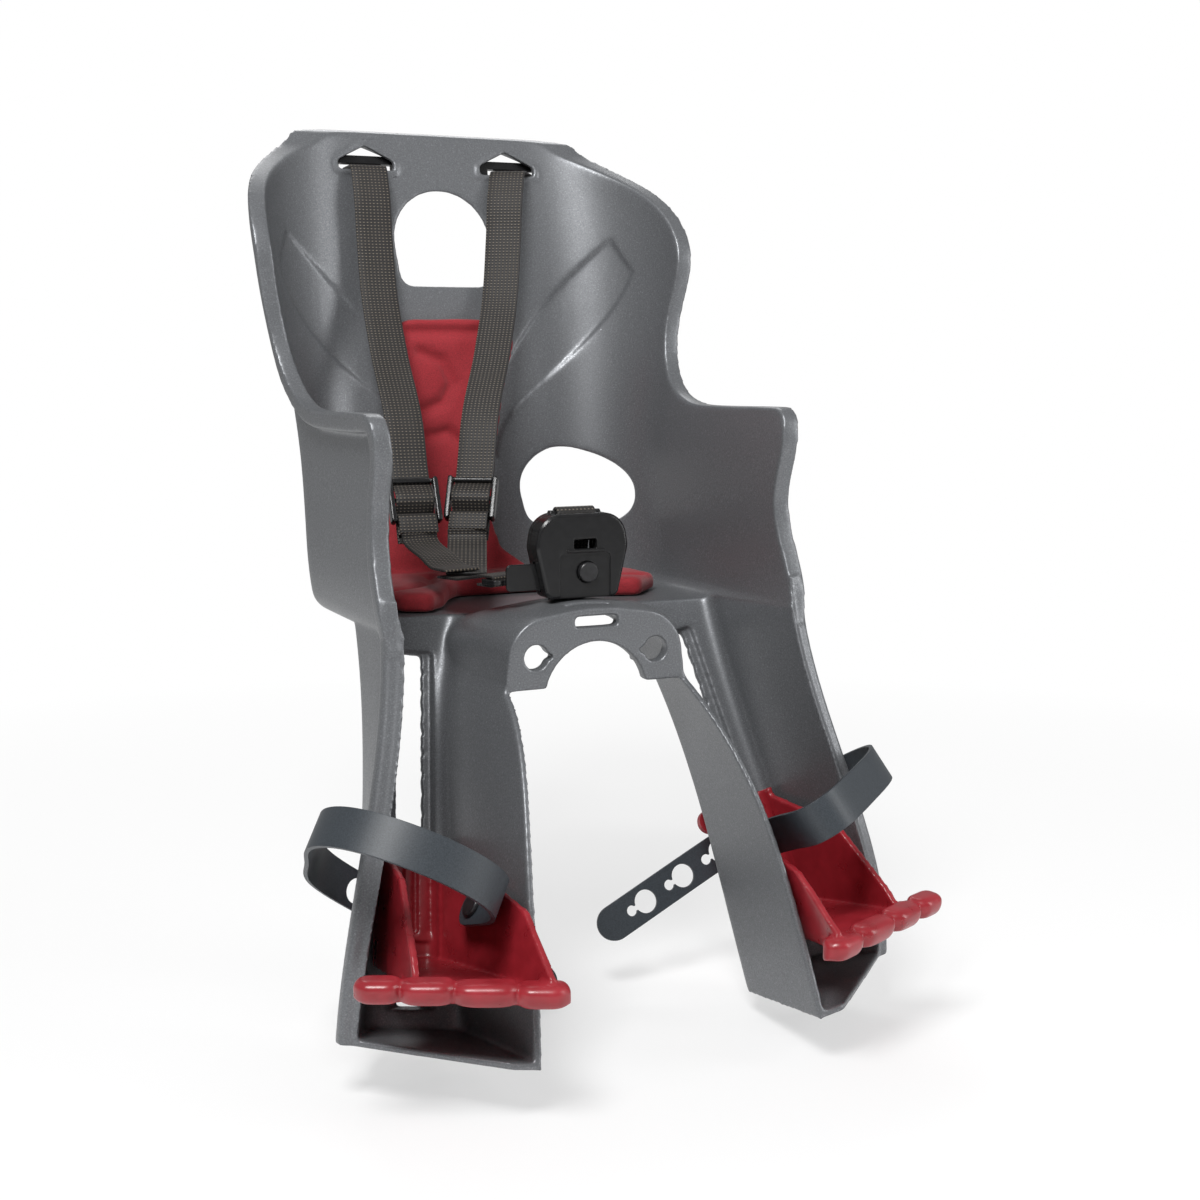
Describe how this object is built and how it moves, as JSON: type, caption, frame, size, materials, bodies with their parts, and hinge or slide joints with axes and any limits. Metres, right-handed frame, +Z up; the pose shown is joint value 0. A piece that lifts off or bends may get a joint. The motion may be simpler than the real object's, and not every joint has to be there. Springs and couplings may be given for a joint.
{
  "type": "child bike seat",
  "caption": "Front-mounted child bike seat with a moulded shell, foam pad, shoulder harness, buckle and sliding footrests with straps.",
  "frame": {"origin": "midway between the two keyed holes, on the front face of the pommel", "axes": "+X to the seat's left as a rider sits in it reversed, that is to the viewer's right from the front; +Y towards the backrest; +Z up"},
  "size_m": [0.3774, 0.4318, 0.5551],
  "materials": {
    "shell_plastic": "satin, fine metallic fleck",
    "pad_foam": "matt",
    "webbing": "woven",
    "buckle_plastic": "semi-gloss",
    "button_plastic": "semi-gloss",
    "spring_steel": "drawn wire",
    "footrest_plastic": "semi-gloss",
    "screw_steel": "zinc plated",
    "strap_rubber": "satin"
  },
  "bodies": {
    "seat": {"shell": "shell_plastic", "seat_pad": "pad_foam", "shoulder_strap_left": "webbing", "shoulder_strap_right": "webbing", "lap_strap_left": "webbing", "lap_strap_right": "webbing", "tongue_strap": "webbing", "crotch_strap": "webbing", "strap_adjuster_left": "buckle_plastic", "strap_adjuster_right": "buckle_plastic", "strap_retainer_left": "buckle_plastic", "strap_retainer_right": "buckle_plastic", "crotch_retainer": "buckle_plastic", "buckle_tongue": "buckle_plastic", "buckle_body": "buckle_plastic", "buckle_back": "buckle_plastic", "buckle_spring": "spring_steel"},
    "button": {"buckle_button": "button_plastic"},
    "left_footrest": {"footrest_left": "footrest_plastic", "footrest_lock_left": "footrest_plastic", "footrest_screw_left": "screw_steel", "foot_strap_left": "strap_rubber", "foot_strap_stud_left": "button_plastic"},
    "right_footrest": {"footrest_right": "footrest_plastic", "footrest_lock_right": "footrest_plastic", "footrest_screw_right": "screw_steel", "foot_strap_right": "strap_rubber", "foot_strap_stud_right": "button_plastic"}
  },
  "joints": [
    {"name": "buckle_press", "type": "slide", "parent": "seat", "child": "button", "axis": [0, 1, 0], "range_m": [0, 0.0018], "stiffness_N_per_m": 1500, "springref_m": -0.001, "deforming": ["buckle_spring"]},
    {"name": "left_footrest_slide", "type": "slide", "parent": "seat", "child": "left_footrest", "axis": [0.1551, 0.4144, 0.8968], "range_m": [-0.012, 0.06]},
    {"name": "right_footrest_slide", "type": "slide", "parent": "seat", "child": "right_footrest", "axis": [-0.1551, 0.4144, 0.8968], "range_m": [-0.012, 0.06]}
  ]
}
